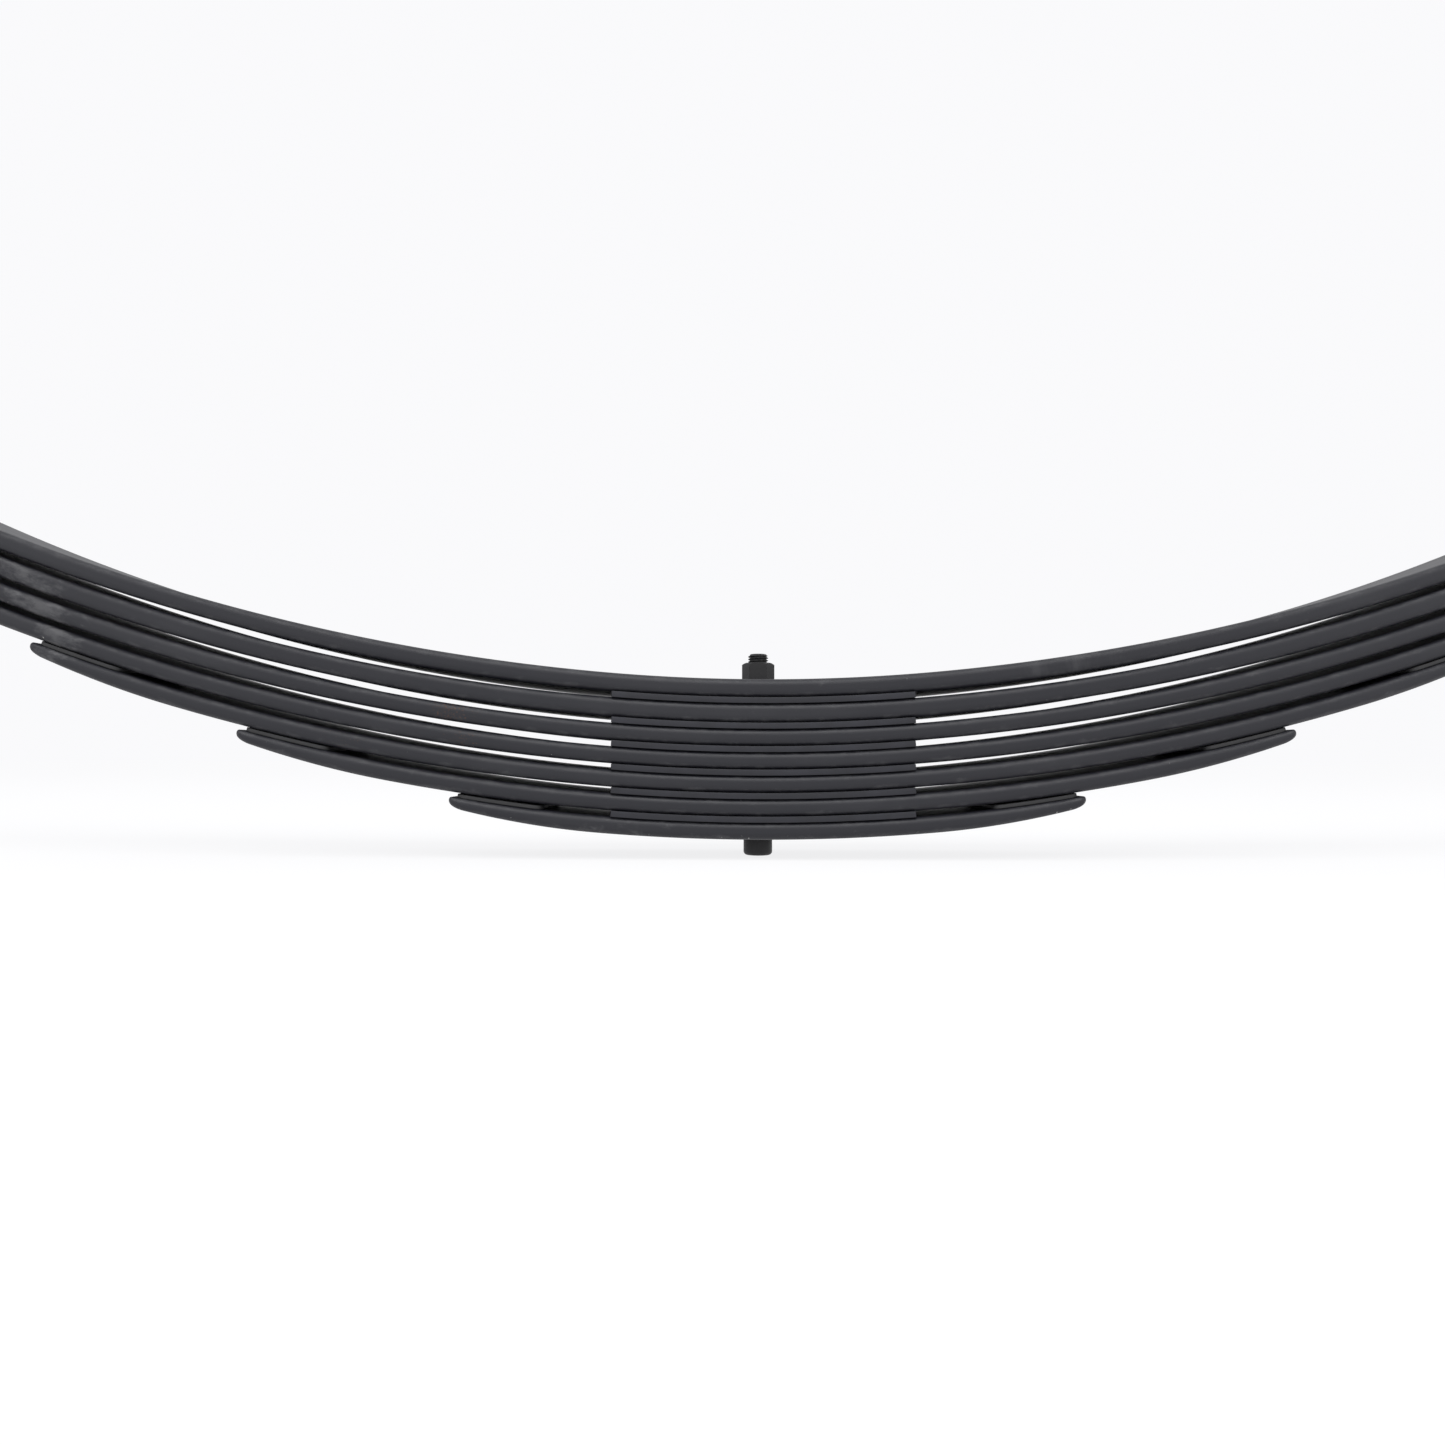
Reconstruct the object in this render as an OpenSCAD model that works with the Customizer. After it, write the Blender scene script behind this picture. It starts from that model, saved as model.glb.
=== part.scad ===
// Leaf spring pack: seven leaves on a centre bolt with spacer strips, rolled eyes, bushes and rebound clips.
// Millimetres, +Z up, +X along the leaves, Y across them. The origin is on the centre bolt's axis, at the
// underside of the seventh leaf, where the pack sits on an axle pad.

/* [View] */
// Sub-part to show, or "all" for the whole pack

/* [Leaves] */
// Width of every leaf
leaf_width = 60; // [40:1:80]
// Thickness of the main leaf
main_thick = 8.5; // [6:0.1:12]
// Thickness of the second leaf
second_thick = 9; // [6:0.1:12]
// Thickness of the third to the seventh leaf
leaf_thick = 8; // [5:0.1:12]
// Radius of the rounded edges along each bar
edge_round = 2; // [0.5:0.1:3.5]
// Distance from the bolt to the eye, along the main leaf's top face
eye_run = 600; // [400:5:800]
// Half length of the second leaf, along its top face
second_run = 582; // [380:5:780]
// Half length of the seventh leaf, along its top face
short_run = 147.5; // [100:0.5:250]
// Step in half length from each leaf to the next longer one
step_run = 100; // [60:1:140]
// Distance that the leaves' middles stand from the bolt, towards +X
leaf_offset = 3.5; // [0:0.5:20]

/* [Camber] */
// Radius of the main leaf's top face in the clamped centre
centre_radius = 870; // [600:10:1500]
// Half length of the clamped centre, where the leaves are concentric
centre_zone = 75; // [50:1:120]
// Radius of the main leaf's top face outside the centre
outer_radius = 1010; // [700:10:2000]

/* [Leaf tips] */
// Length of the tapered end on the underside
taper_run = 70; // [20:1:120]
// Thickness that the taper takes off at the end
taper_depth = 3.2; // [0:0.1:5]
// Radius of the lower corner of each end face
tip_round = 4.4; // [1:0.1:6]
// Radius of the end's corners seen from above
plan_round = 3; // [1:0.5:15]

/* [Spacers and pads] */
// Thickness of the spacer strips
spacer_thick = 2.8; // [1:0.1:6]
// Length of the spacer strips
spacer_length = 140.4; // [100:0.2:200]
// Distance that the spacers' middles stand from the bolt, towards +X
spacer_offset = 1.3; // [0:0.1:10]
// Thickness of the tip pads
pad_thick = 1.8; // [1:0.1:4]
// Length of the tip pads
pad_length = 40; // [20:1:60]
// Width of the tip pads
pad_width = 57; // [30:1:80]
// Distance from the leaf's end to its pad
pad_setback = 3; // [1:0.5:15]
// Diameter of the button that holds a pad
button_dia = 10; // [6:0.5:14]

/* [Centre bolt] */
// Thread diameter
bolt_dia = 10; // [8:0.5:14]
// Thread pitch
bolt_pitch = 1.25; // [1:0.25:2]
// Diameter of the round head
head_dia = 14; // [12:0.5:22]
// Height of the round head
head_height = 9.5; // [5:0.5:14]
// Nut size across its flats
nut_flats = 14; // [13:1:19]
// Nut height
nut_height = 9.9; // [6:0.1:12]
// Length of thread above the nut
thread_above = 4.6; // [2:0.1:15]
// Turn of the nut's corners about the bolt
nut_turn = 3.4; // [0:0.1:60]

/* [Eyes and bushes] */
// Inner diameter of the rolled eyes
eye_dia = 36; // [28:1:50]
// Angle of the gap between the roll's end and the leaf
eye_gap_angle = 56; // [50:1:80]
// Outer diameter of the steel sleeves
sleeve_dia = 22; // [16:1:30]
// Bore of the steel sleeves
sleeve_bore = 14.4; // [10:0.1:20]
// Length of the steel sleeves
sleeve_length = 71; // [60:0.5:90]
// Thickness of the bush flanges
flange_thick = 4.4; // [2:0.2:8]
// Diameter of the bush flanges
flange_dia = 48; // [38:1:60]

/* [Rebound clips] */
// Distance from the bolt to a clip, along the third leaf
clip_run = 468; // [400:1:500]
// Width of the clip strap
strap_width = 30; // [20:1:50]
// Thickness of the clip strap
strap_thick = 5; // [3:0.5:8]
// Gap between the strap and the leaf edges on each side
strap_gap = 0.8; // [0.3:0.1:3]
// Diameter of the clip bolt
clip_bolt_dia = 10; // [8:1:12]
// Outer diameter of the tube on the clip bolt
tube_dia = 16; // [13:0.5:24]
// Gap between the main leaf and the tube
tube_gap = 2.5; // [1:0.5:10]
// Diameter of the rivet
rivet_dia = 9; // [6:0.5:12]

/* [Hidden] */

LEAVES = 7;
fine = 256;                // facets of the long arcs
round_fn = 96;             // facets of bores, pins and rolls
rear = -1;                 // the eye towards -X
front = 1;                 // the eye towards +X
lap = 1;                   // by which a bar's outer arc runs into its centre
inset = 0.03;              // by which the outer arc's faces lie under the centre's, which keeps the bar one solid
nip = 0.05;                // by which a rounding tool crosses a face that it would only graze
slack = 0.05;              // radial play of parts that turn in one another
pad_play = 0.1;            // least gap between a pad and the leaf above it
nut_seat = 0.06;           // height of the nut over the leaf's lowest line, so that its corners clear the curve
hole_dia = bolt_dia + 0.5; // centre hole of leaves and spacers
major_dia = bolt_dia - 0.12;
eye_r = eye_dia / 2;
sleeve_r = sleeve_dia / 2;
half_width = leaf_width / 2;
stack_height = main_thick + second_thick + (LEAVES - 2) * leaf_thick + (LEAVES - 1) * spacer_thick;
arc_centre_z = stack_height + centre_radius;
zone_angle = centre_zone / centre_radius * 180 / PI;

// Thickness of a leaf, and the depth of its top face under the main leaf's, at the bolt
function thick(k) = k == 1 ? main_thick : k == 2 ? second_thick : leaf_thick;
function depth(k) = k == 1 ? 0 : depth(k - 1) + thick(k - 1) + spacer_thick;

// Angle of the lap at a radius
function lap_of(r) = lap / r * 180 / PI;

// Half length of a leaf without the offset, then with it on one side
function run(k) = k == 1 ? eye_run : k == 2 ? second_run : short_run + (LEAVES - k) * step_run;
function side_run(k, side) = run(k) + side * leaf_offset;

// Radius of a leaf's top face in the clamped centre
function centre_r(k) = centre_radius + depth(k);

// Radius of a leaf's top face outside it: each leaf closes on the one above, to the pad's thickness at its end
closing = spacer_thick - pad_thick - pad_play;
function outer_r(k) = k == 1 ? outer_radius
    : 1 / (1 / (outer_r(k - 1) + thick(k - 1) + spacer_thick)
        + 2 * closing / pow(run(k) + leaf_offset - centre_zone, 2));

// Angle from straight down at a distance along the top face
function arc_angle(k, s) =
    zone_angle + (s - centre_r(k) * zone_angle * PI / 180) / outer_r(k) * 180 / PI;

// Centre of a leaf's outer arc, for the +X side
function outer_x(k) = (centre_r(k) - outer_r(k)) * sin(zone_angle);
function outer_z(k) = arc_centre_z - (centre_r(k) - outer_r(k)) * cos(zone_angle);

// Where the clip's parts stand over the third leaf's top face
CLIP_LEAF = 3;
function gap_at(k, s) =
    spacer_thick - closing * pow((s - centre_zone) / (run(k) + leaf_offset - centre_zone), 2);
clip_stack = thick(1) + thick(2) + gap_at(2, clip_run) + gap_at(3, clip_run);
tube_z = clip_stack + tube_gap + tube_dia / 2;
strap_inner = half_width + strap_gap;
strap_outer = strap_inner + strap_thick;
strap_top = tube_z + tube_dia / 2 + 4;

// ---- helpers ----

// A rectangle with rounded corners, from the origin
module rounded_bar(a, b, r) {
    translate([r, 0]) square([a - 2 * r, b]);
    translate([0, r]) square([a, b - 2 * r]);
    for (x = [r, a - r], y = [r, b - r]) translate([x, y]) circle(r = r, $fn = 32);
}

// Turns the XY plane's sweep into one in the XZ plane, starting from straight down
module swept(from, to, fn = fine) {
    rotate([90, 0, 0]) rotate([0, 0, from - 90]) rotate_extrude(angle = to - from, $fn = fn) children();
}

// A bent bar with its inner face at radius r
module bent_bar(r, t, from, to, fn = fine, under = 0) {
    swept(from, to, fn) translate([r + under, -half_width + under])
        rounded_bar(t - 2 * under, leaf_width - 2 * under, edge_round);
}

// A bent strip with sharp edges
module bent_strip(r, t, w, from, to) {
    swept(from, to) translate([r, -w / 2]) square([t, w]);
}

// Puts children at the centre of a leaf's outer arc, on one side
module at_outer(k, side) {
    scale_x(side) translate([outer_x(k), 0, outer_z(k)]) children();
}

module scale_x(side) {
    if (side > 0) children();
    else mirror([1, 0, 0]) children();
}

// Puts children on a leaf's top face: +Z towards the arc's centre, +X away from the bolt
module on_leaf(k, side, s) {
    a = arc_angle(k, s);
    at_outer(k, side) rotate([0, -a, 0]) translate([0, 0, -outer_r(k)]) children();
}

// The underside taper and the rounded corner of one leaf end, to be taken off
module tip_cut(k, side) {
    end = side_run(k, side);
    under = outer_r(k) + thick(k);
    taper_r = 1 / (1 / under + 2 * taper_depth / pow(taper_run, 2));
    at_outer(k, side) {
        rotate([0, -arc_angle(k, end - taper_run), 0])
            difference() {
                translate([0, -half_width - 1, -under - 10]) cube([taper_run + 20, leaf_width + 2, 60]);
                translate([0, 0, taper_r - under + nip]) rotate([90, 0, 0])
                    cylinder(r = taper_r, h = leaf_width + 4, center = true, $fn = fine);
            }
    }
    on_leaf(k, side, end) {
        deep = thick(k) - taper_depth;
        translate([nip - tip_round, 0, -deep]) corner_cut(tip_round);
        for (y = [-1, 1]) scale_y(y) translate([nip - plan_round, half_width - plan_round + nip, 0])
            difference() {
                translate([0, 0, -15]) cube([plan_round + 1, plan_round + 1, 30]);
                cylinder(r = plan_round, h = 80, center = true, $fn = 64);
            }
    }
}

// A square prism less a round one, along Y, for the lower corner of an end face
module corner_cut(r) {
    difference() {
        translate([0, -half_width - 1, -10]) cube([r + 1, leaf_width + 2, r + 10]);
        translate([0, 0, r]) rotate([90, 0, 0]) cylinder(r = r, h = leaf_width + 4, center = true, $fn = 64);
    }
}

module scale_y(side) {
    if (side > 0) children();
    else mirror([0, 1, 0]) children();
}

module leaf_body(k) {
    translate([0, 0, arc_centre_z]) bent_bar(centre_r(k), thick(k), -zone_angle, zone_angle);
    for (side = [rear, front])
        at_outer(k, side)
            bent_bar(outer_r(k), thick(k), zone_angle - lap_of(outer_r(k)),
                arc_angle(k, side_run(k, side)), under = inset);
}

module centre_hole() {
    translate([0, 0, -5]) cylinder(d = hole_dia, h = stack_height + 10, $fn = round_fn);
}

// One of the plain leaves: tapered ends, a centre hole and a button hole under each pad
module plain_leaf(k) {
    difference() {
        leaf_body(k);
        centre_hole();
        for (side = [rear, front]) {
            tip_cut(k, side);
            on_leaf(k, side, pad_middle(k, side)) translate([0, 0, -20])
                cylinder(d = button_dia + 2 * slack, h = 40, $fn = 64);
            if (k == CLIP_LEAF) on_leaf(k, side, clip_run) translate([0, 0, -20])
                cylinder(d = rivet_dia + 2 * slack, h = 40, $fn = 64);
        }
    }
}

// Length of a pad's button: it stops just short of the leaf's thinned underside
function button_depth(k) =
    thick(k) - taper_depth * pow((taper_run - pad_setback - pad_length / 2) / taper_run, 2) - 0.3;

function pad_middle(k, side) = side_run(k, side) - pad_setback - pad_length / 2;

module spacer(k) {
    r = centre_r(k) + thick(k);
    half = spacer_length / 2;
    difference() {
        translate([0, 0, arc_centre_z]) bent_strip(r, spacer_thick, leaf_width,
            -(half - spacer_offset) / r * 180 / PI, (half + spacer_offset) / r * 180 / PI);
        centre_hole();
    }
}

// A tip pad on top of a leaf's end, with its button through the leaf
module pad(k, side) {
    mid = pad_middle(k, side);
    at_outer(k, side) bent_strip(outer_r(k) - pad_thick, pad_thick, pad_width,
        arc_angle(k, mid - pad_length / 2), arc_angle(k, mid + pad_length / 2));
    on_leaf(k, side, mid) translate([0, 0, -button_depth(k)])
        cylinder(d = button_dia, h = button_depth(k) + 0.6, $fn = 64);
}

// A nut or a bolt head: a hexagon with its corners turned off in a cone
module hexagon(flats, height, both) {
    corner = flats / cos(30) / 2;
    chamfer = corner - flats / 2;
    intersection() {
        cylinder(r = corner, h = height, $fn = 6);
        union() {
            translate([0, 0, height - chamfer * 0.6])
                cylinder(r1 = corner, r2 = corner - chamfer, h = chamfer * 0.6, $fn = round_fn);
            translate([0, 0, both ? chamfer * 0.6 : 0])
                cylinder(r = corner, h = height - chamfer * (both ? 1.2 : 0.6), $fn = round_fn);
            if (both) cylinder(r1 = corner - chamfer, r2 = corner, h = chamfer * 0.6, $fn = round_fn);
        }
    }
}

// A threaded rod's end as a row of rings, from z = 0 up, with a chamfered tip
module thread(dia, pitch, turns) {
    root = dia / 2 - 0.6 * pitch;
    for (i = [0 : turns - 1]) translate([0, 0, i * pitch]) {
        cylinder(r1 = root, r2 = dia / 2, h = pitch / 2, $fn = round_fn);
        translate([0, 0, pitch / 2]) cylinder(r1 = dia / 2, r2 = root, h = pitch / 2, $fn = round_fn);
    }
    translate([0, 0, turns * pitch]) cylinder(r1 = root, r2 = root - 0.4, h = 0.5, $fn = round_fn);
}

module bush(side, y_side) {
    eye_at(side) scale_y(y_side) rotate([-90, 0, 0]) difference() {
        union() {
            translate([0, 0, 0.25]) cylinder(r = eye_r - slack, h = half_width, $fn = round_fn);
            translate([0, 0, half_width + 0.2]) cylinder(d = flange_dia, h = flange_thick, $fn = round_fn);
        }
        translate([0, 0, -1]) cylinder(r = sleeve_r + slack, h = half_width + 20, $fn = round_fn);
    }
}

module sleeve(side) {
    eye_at(side) rotate([90, 0, 0]) difference() {
        cylinder(r = sleeve_r, h = sleeve_length, center = true, $fn = round_fn);
        cylinder(d = sleeve_bore, h = sleeve_length + 2, center = true, $fn = round_fn);
    }
}

// Puts children on an eye's axis
module eye_at(side) {
    on_leaf(1, side, side_run(1, side)) translate([0, 0, eye_r]) children();
}

module clip_at(side) {
    on_leaf(CLIP_LEAF, side, clip_run) children();
}

module clip_strap(side) {
    base_z = -thick(CLIP_LEAF) - 0.15;
    clip_at(side) difference() {
        union() {
            translate([-strap_width / 2, -strap_outer, base_z - strap_thick])
                cube([strap_width, 2 * strap_outer, strap_thick]);
            for (y = [-1, 1]) scale_y(y) {
                translate([-strap_width / 2, strap_inner, base_z - strap_thick])
                    cube([strap_width, strap_thick, tube_z - base_z + strap_thick]);
                translate([0, strap_inner, tube_z]) rotate([-90, 0, 0])
                    cylinder(d = strap_width, h = strap_thick, $fn = round_fn);
            }
        }
        translate([0, 0, tube_z]) rotate([90, 0, 0])
            cylinder(d = clip_bolt_dia + 0.6, h = 2 * strap_outer + 4, center = true, $fn = 64);
        translate([0, 0, base_z - strap_thick - 1])
            cylinder(d = rivet_dia + 2 * slack, h = strap_thick + 2, $fn = 64);
    }
}

module clip_bolt(side) {
    clip_at(side) translate([0, 0, tube_z]) rotate([90, 0, 0]) {
        translate([0, 0, strap_outer]) hexagon(16, 6.4, false);
        translate([0, 0, -strap_outer - 10]) cylinder(d = clip_bolt_dia - 0.12, h = 2 * strap_outer + 11,
            $fn = round_fn);
        translate([0, 0, -strap_outer - 10]) mirror([0, 0, 1])
            cylinder(r1 = clip_bolt_dia / 2 - 0.06, r2 = clip_bolt_dia / 2 - 1, h = 1, $fn = round_fn);
    }
}

module clip_nut(side) {
    clip_at(side) translate([0, strap_outer, tube_z]) rotate([-90, 0, 0]) difference() {
        hexagon(16, 8, false);
        translate([0, 0, -1]) cylinder(d = clip_bolt_dia, h = 10, $fn = round_fn);
    }
}

module clip_tube(side) {
    clip_at(side) translate([0, 0, tube_z]) rotate([90, 0, 0]) difference() {
        cylinder(d = tube_dia, h = 2 * strap_inner - 0.4, center = true, $fn = round_fn);
        cylinder(d = clip_bolt_dia + 0.6, h = 2 * strap_inner + 2, center = true, $fn = 64);
    }
}

module clip_rivet(side) {
    bottom = -thick(CLIP_LEAF) - 0.15 - strap_thick;
    clip_at(side) {
        translate([0, 0, bottom]) cylinder(d = rivet_dia, h = -bottom + 0.5, $fn = 64);
        translate([0, 0, 0.05]) cylinder(d = 15, h = 1.2, $fn = 64);
        translate([0, 0, bottom - 3.5]) cylinder(d1 = 10, d2 = 16, h = 3.5, $fn = 64);
    }
}

// ---- sub-parts ----

module main_leaf() {
    color("#3c3c42") difference() {
        union() {
            leaf_body(1);
            for (side = [rear, front]) eye_at(side)
                bent_bar(eye_r, main_thick, -lap_of(2 * eye_r), 360 - eye_gap_angle, 180);
        }
        centre_hole();
    }
}

module leaf_2() { color("#3c3c42") plain_leaf(2); }
module leaf_3() { color("#3c3c42") plain_leaf(3); }
module leaf_4() { color("#3c3c42") plain_leaf(4); }
module leaf_5() { color("#3c3c42") plain_leaf(5); }
module leaf_6() { color("#3c3c42") plain_leaf(6); }
module leaf_7() { color("#3c3c42") plain_leaf(7); }

module spacer_1() { color("#4a4a50") spacer(1); }
module spacer_2() { color("#4a4a50") spacer(2); }
module spacer_3() { color("#4a4a50") spacer(3); }
module spacer_4() { color("#4a4a50") spacer(4); }
module spacer_5() { color("#4a4a50") spacer(5); }
module spacer_6() { color("#4a4a50") spacer(6); }

module pad_2_rear() { color("#2b2b2d") pad(2, rear); }
module pad_3_rear() { color("#2b2b2d") pad(3, rear); }
module pad_4_rear() { color("#2b2b2d") pad(4, rear); }
module pad_5_rear() { color("#2b2b2d") pad(5, rear); }
module pad_6_rear() { color("#2b2b2d") pad(6, rear); }
module pad_7_rear() { color("#2b2b2d") pad(7, rear); }
module pad_2_front() { color("#2b2b2d") pad(2, front); }
module pad_3_front() { color("#2b2b2d") pad(3, front); }
module pad_4_front() { color("#2b2b2d") pad(4, front); }
module pad_5_front() { color("#2b2b2d") pad(5, front); }
module pad_6_front() { color("#2b2b2d") pad(6, front); }
module pad_7_front() { color("#2b2b2d") pad(7, front); }

module centre_bolt() {
    round = 1.8;
    turns = 18;
    thread_from = stack_height + nut_height + thread_above - 0.5 - turns * bolt_pitch;
    color("#333336") {
        rotate_extrude($fn = round_fn) {
            translate([0, -head_height + round]) square([head_dia / 2, head_height - round]);
            translate([0, -head_height]) square([head_dia / 2 - round, head_height]);
            translate([head_dia / 2 - round, -head_height + round]) circle(r = round, $fn = 48);
        }
        translate([0, 0, -1]) cylinder(d = major_dia, h = thread_from + 1.2, $fn = round_fn);
        translate([0, 0, thread_from]) thread(major_dia, bolt_pitch, turns);
    }
}

module centre_nut() {
    color("#333336") translate([0, 0, stack_height + nut_seat]) rotate([0, 0, -nut_turn]) difference() {
        hexagon(nut_flats, nut_height, false);
        translate([0, 0, -1]) cylinder(d = bolt_dia, h = nut_height + 2, $fn = round_fn);
    }
}

module bush_rear_near() { color("#1d1d1f") bush(rear, -1); }
module bush_rear_far() { color("#1d1d1f") bush(rear, 1); }
module bush_front_near() { color("#1d1d1f") bush(front, -1); }
module bush_front_far() { color("#1d1d1f") bush(front, 1); }
module sleeve_rear() { color("#9a9a9c") sleeve(rear); }
module sleeve_front() { color("#9a9a9c") sleeve(front); }

module clip_strap_rear() { color("#3a3a40") clip_strap(rear); }
module clip_bolt_rear() { color("#3a3a40") clip_bolt(rear); }
module clip_tube_rear() { color("#3a3a40") clip_tube(rear); }
module clip_nut_rear() { color("#3a3a40") clip_nut(rear); }
module clip_rivet_rear() { color("#3a3a40") clip_rivet(rear); }
module clip_strap_front() { color("#3a3a40") clip_strap(front); }
module clip_bolt_front() { color("#3a3a40") clip_bolt(front); }
module clip_tube_front() { color("#3a3a40") clip_tube(front); }
module clip_nut_front() { color("#3a3a40") clip_nut(front); }
module clip_rivet_front() { color("#3a3a40") clip_rivet(front); }

main_leaf();
leaf_2();
leaf_3();
leaf_4();
leaf_5();
leaf_6();
leaf_7();
spacer_1();
spacer_2();
spacer_3();
spacer_4();
spacer_5();
spacer_6();
pad_2_rear();
pad_3_rear();
pad_4_rear();
pad_5_rear();
pad_6_rear();
pad_7_rear();
pad_2_front();
pad_3_front();
pad_4_front();
pad_5_front();
pad_6_front();
pad_7_front();
centre_bolt();
centre_nut();
bush_rear_near();
bush_rear_far();
sleeve_rear();
bush_front_near();
bush_front_far();
sleeve_front();
clip_strap_rear();
clip_bolt_rear();
clip_tube_rear();
clip_nut_rear();
clip_rivet_rear();
clip_strap_front();
clip_bolt_front();
clip_tube_front();
clip_nut_front();
clip_rivet_front();
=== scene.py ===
"""A seven-leaf spring pack: painted leaves, spacer strips, tip pads, centre bolt, bushed eyes and clips.

Metres, +Z up, +X along the leaves, Y across them. Every shape is a grid of points worked out from the sizes
in the property groups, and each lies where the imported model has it.
"""

import bpy
import numpy as np
from bpy.props import FloatProperty, FloatVectorProperty, PointerProperty
from bpy.types import Operator, Panel, PropertyGroup
from mathutils import Matrix, Vector


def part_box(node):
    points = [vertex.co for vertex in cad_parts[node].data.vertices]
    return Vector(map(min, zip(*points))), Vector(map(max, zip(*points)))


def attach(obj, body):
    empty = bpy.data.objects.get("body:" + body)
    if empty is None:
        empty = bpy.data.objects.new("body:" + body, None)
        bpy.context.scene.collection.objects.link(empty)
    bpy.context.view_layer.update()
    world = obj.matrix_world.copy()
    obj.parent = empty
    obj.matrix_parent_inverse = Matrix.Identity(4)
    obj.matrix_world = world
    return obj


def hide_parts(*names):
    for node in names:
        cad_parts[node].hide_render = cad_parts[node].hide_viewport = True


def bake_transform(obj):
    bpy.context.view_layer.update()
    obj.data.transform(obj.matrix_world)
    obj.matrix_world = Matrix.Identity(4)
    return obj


bl_info = {
    "name": "Leaf spring pack",
    "version": (1, 0, 0),
    "blender": (4, 5, 0),
    "location": "3D View > Sidebar > Leaf spring",
    "description": "Builds a seven-leaf spring pack with its spacers, pads, centre bolt, eyes and clips",
    "category": "Mesh",
}

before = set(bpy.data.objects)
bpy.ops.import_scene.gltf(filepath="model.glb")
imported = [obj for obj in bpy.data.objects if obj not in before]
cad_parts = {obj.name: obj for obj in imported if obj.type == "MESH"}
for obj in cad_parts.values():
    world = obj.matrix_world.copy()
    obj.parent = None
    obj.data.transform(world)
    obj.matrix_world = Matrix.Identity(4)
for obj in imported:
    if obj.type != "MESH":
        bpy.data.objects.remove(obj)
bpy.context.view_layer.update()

REAR, FRONT = -1, 1
SIDE_NAMES = {REAR: "rear", FRONT: "front"}
LEAVES = range(1, 8)
CLIP_LEAF = 3
FULL_TURN = 2 * np.pi
SHARP_ANGLE = np.radians(28)


def box_size(node, axis):
    """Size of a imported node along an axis, in metres."""
    low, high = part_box(node)
    return high[axis] - low[axis]


# ---------------------------------------------------------------------------------------------------- sizes


def length(name, description, default):
    """A property for a length in metres."""
    return FloatProperty(name=name, description=description, default=default, min=0.0, unit="LENGTH",
                         precision=5)


def colour(name, description, default):
    """A property for a colour."""
    return FloatVectorProperty(name=name, description=description, default=default, subtype="COLOR",
                               min=0.0, max=1.0)


class LeafSizes(PropertyGroup):
    """Sizes of the leaves and of what lies between them."""

    width: length("Width", "Width of every leaf", box_size("leaf_7", 1))
    main_thick: length("Main leaf", "Thickness of the main leaf", 0.0085)
    second_thick: length("Second leaf", "Thickness of the second leaf", 0.009)
    plain_thick: length("Other leaves", "Thickness of the third to the seventh leaf", 0.008)
    corner: length("Corner", "Radius of the rounded edges along each leaf", 0.0031)
    eye_run: length("Eye run", "Distance from the bolt to the eye along the main leaf", 0.6)
    second_run: length("Second run", "Half length of the second leaf", 0.582)
    short_run: length("Short run", "Half length of the seventh leaf", 0.1475)
    step_run: length("Step", "Step in half length between neighbouring leaves", 0.1)
    offset: length("Offset", "Distance of the leaves' middles from the bolt", 0.0035)
    centre_radius: length("Centre radius", "Radius of the main leaf in the clamped centre", 0.87)
    centre_zone: length("Clamped centre", "Half length over which the leaves are concentric", 0.075)
    outer_radius: length("Outer radius", "Radius of the main leaf outside the centre", 1.01)
    taper_run: length("Taper length", "Length of the thinned end", 0.07)
    taper_depth: length("Taper depth", "Thickness that the thinned end loses", 0.0032)
    nose_run: length("Nose length", "Length of the rounding under each end", 0.0075)
    nose_rise: length("Nose height", "Height of the rounding under each end", 0.0034)
    brow_run: length("Brow length", "Length of the rounding on top of each end", 0.0014)
    brow_drop: length("Brow height", "Height of the rounding on top of each end", 0.0012)
    plan_round: length("Plan radius", "Radius of each end's corners from above", 0.003)
    spacer_thick: length("Spacer", "Thickness of the spacer strips", 0.0028)
    spacer_length: length("Spacer length", "Length of the spacer strips", 0.1404)
    spacer_offset: length("Spacer offset", "Distance of the spacers' middles from the bolt", 0.0013)
    spacer_edge: length("Spacer edge", "Radius of the spacer strips' edges", 0.00025)
    pad_thick: length("Pad", "Thickness of the tip pads", 0.0018)
    pad_play: length("Pad play", "Least gap between a pad and the leaf above", 0.0001)
    pad_length: length("Pad length", "Length of the tip pads", 0.04)
    pad_width: length("Pad width", "Width of the tip pads", 0.057)
    pad_setback: length("Pad setback", "Distance from a leaf's end to its pad", 0.003)
    button_radius: length("Button radius", "Radius of the button that holds a pad", 0.005)


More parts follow.
